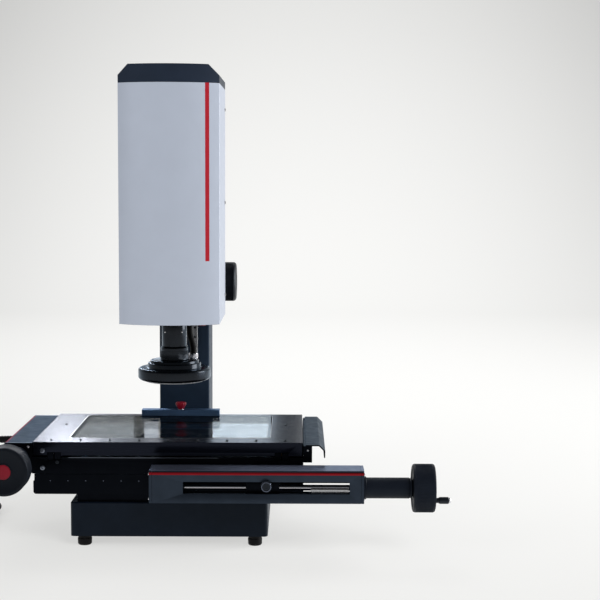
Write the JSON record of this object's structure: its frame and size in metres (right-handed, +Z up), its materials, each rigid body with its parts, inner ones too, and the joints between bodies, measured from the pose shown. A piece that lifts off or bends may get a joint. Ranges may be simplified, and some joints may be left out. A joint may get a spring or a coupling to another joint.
{
  "type": "measuring microscope",
  "caption": "Bench measuring microscope: cross slide with a glass stage, two handwheel drives, a column and a focusing camera head with a ring light.",
  "frame": {"origin": "on the bench, under the middle of the whole footprint, cable left out", "axes": "+Z up, +X to the right of the user and along the X drive, +Y away from the user"},
  "size_m": [0.7465, 0.4976, 0.665],
  "materials": {
    "base_paint": "fine textured blue-black paint",
    "column_black": "satin blue-black",
    "anodised_black": "satin black anodised",
    "stage_anodised": "satin black anodised, ground top",
    "drive_slate": "satin slate grey with a red line",
    "cover_silver": "satin silver-grey with a red line",
    "cap_dark": "moulded anthracite",
    "chassis_black": "satin black sheet",
    "wheel_black": "moulded black, rim finely ribbed",
    "knob_black": "moulded black",
    "red_plastic": "moulded red",
    "lens_black": "gloss black anodised",
    "steel": "ground",
    "chrome": "polished",
    "brass_cage": "satin",
    "glass": "clear, polished",
    "rubber": "matt",
    "camera_body": "satin"
  },
  "bodies": {
    "base": {"base_housing": "base_paint", "base_cover": "chassis_black", "rubber_feet": "rubber", "spacer_plate": "anodised_black", "guide_base": "anodised_black", "x_fixed_strips": "steel", "x_drive_housing": "drive_slate", "x_end_caps": "drive_slate", "x_drive_tube": "wheel_black", "lamp_tube": "anodised_black", "condenser_lens": "glass", "column": "column_black", "column_rails": "steel", "rack": "steel"},
    "x_cage": {"x_roller_cages": "brass_cage"},
    "x_spindle": {"x_drive_rod": "chrome", "x_handwheel": "wheel_black", "x_wheel_cap": "red_plastic"},
    "x_crank": {"x_crank_handle": "knob_black"},
    "x_slide": {"x_carriage": "anodised_black", "x_moving_strips": "steel", "x_grip": "anodised_black", "y_fixed_strips": "steel", "y_drive_housing": "drive_slate", "y_end_caps": "anodised_black", "y_drive_tube": "wheel_black", "side_cover": "anodised_black", "side_blocks": "anodised_black", "cable_gland": "rubber", "cable": "rubber", "cable_coil": "rubber", "cable_plug": "knob_black"},
    "x_release": {"x_release_knob": "chrome"},
    "y_cage": {"y_roller_cages": "brass_cage"},
    "y_spindle": {"y_drive_rod": "chrome", "y_handwheel": "wheel_black", "y_wheel_cap": "red_plastic"},
    "y_crank": {"y_crank_handle": "knob_black"},
    "stage": {"stage_plate": "stage_anodised", "stage_glass": "glass", "y_moving_strips": "steel", "y_grip": "anodised_black", "stop_bar": "anodised_black"},
    "y_release": {"y_release_knob": "chrome"},
    "stop": {"stop_screw": "red_plastic"},
    "head": {"head_carriage": "anodised_black", "bearing_blocks": "steel", "head_bracket": "anodised_black", "head_cover": "cover_silver", "head_cap": "cap_dark", "head_chassis": "chassis_black", "camera": "camera_body", "zoom_body": "lens_black", "ring_light": "lens_black", "guide_sleeve": "chrome", "light_guide": "rubber"},
    "focus": {"focus_shaft": "steel", "focus_knob": "knob_black"},
    "clamp": {"clamp_knob": "red_plastic"},
    "zoom": {"zoom_ring": "lens_black"}
  },
  "joints": [
    {"name": "x_travel", "type": "slide", "parent": "base", "child": "x_slide", "axis": [1, 0, 0], "range_m": [-0.1, 0.1]},
    {"name": "x_cage_travel", "type": "slide", "parent": "base", "child": "x_cage", "axis": [1, 0, 0], "range_m": [-0.051, 0.051]},
    {"name": "x_wheel_turn", "type": "hinge", "parent": "base", "child": "x_spindle", "pos_m": [-0.0713, -0.1762, 0.0965], "axis": [1, 0, 0], "range_deg": [-1805, 1805]},
    {"name": "x_crank_turn", "type": "hinge", "parent": "x_spindle", "child": "x_crank", "pos_m": [0.2997, -0.19698, 0.0845], "axis": [1, 0, 0], "continuous": true},
    {"name": "x_release_turn", "type": "hinge", "parent": "x_slide", "child": "x_release", "pos_m": [0.0652, -0.2002, 0.103], "axis": [0, -1, 0], "range_deg": [0, 90]},
    {"name": "y_travel", "type": "slide", "parent": "x_slide", "child": "stage", "axis": [0, 1, 0], "range_m": [-0.05, 0.05]},
    {"name": "y_cage_travel", "type": "slide", "parent": "x_slide", "child": "y_cage", "axis": [0, 1, 0], "range_m": [-0.026, 0.026]},
    {"name": "y_wheel_turn", "type": "hinge", "parent": "x_slide", "child": "y_spindle", "pos_m": [-0.2778, -0.2162, 0.127], "axis": [0, 1, 0], "range_deg": [-905, 905]},
    {"name": "y_crank_turn", "type": "hinge", "parent": "y_spindle", "child": "y_crank", "pos_m": [-0.3018, -0.2372, 0.127], "axis": [0, 1, 0], "continuous": true},
    {"name": "y_release_turn", "type": "hinge", "parent": "stage", "child": "y_release", "pos_m": [-0.3013, -0.0262, 0.1205], "axis": [-1, 0, 0], "range_deg": [0, 90]},
    {"name": "stop_screw_turn", "type": "hinge", "parent": "stage", "child": "stop", "pos_m": [-0.0713, 0.0838, 0.165], "axis": [0, 0, 1], "range_deg": [0, 360]},
    {"name": "z_travel", "type": "slide", "parent": "base", "child": "head", "axis": [0, 0, 1], "range_m": [-0.05, 0.1]},
    {"name": "focus_turn", "type": "hinge", "parent": "head", "child": "focus", "pos_m": [-0.0713, 0.1248, 0.3516], "axis": [1, 0, 0], "range_deg": [-384, 193]},
    {"name": "clamp_turn", "type": "hinge", "parent": "head", "child": "clamp", "pos_m": [-0.0428, 0.1318, 0.29], "axis": [0, 0, 1], "range_deg": [0, 270]},
    {"name": "zoom_turn", "type": "hinge", "parent": "head", "child": "zoom", "pos_m": [-0.0713, -0.0262, 0.26], "axis": [0, 0, 1], "range_deg": [0, 180]}
  ],
  "couplings": [
    {"joint": "x_cage_travel", "follows": "x_travel", "ratio": 0.5},
    {"joint": "x_wheel_turn", "follows": "x_travel", "rad_per_m": 314.16},
    {"joint": "y_cage_travel", "follows": "y_travel", "ratio": 0.5},
    {"joint": "y_wheel_turn", "follows": "y_travel", "rad_per_m": 314.16},
    {"joint": "focus_turn", "follows": "z_travel", "rad_per_m": -66.667}
  ]
}
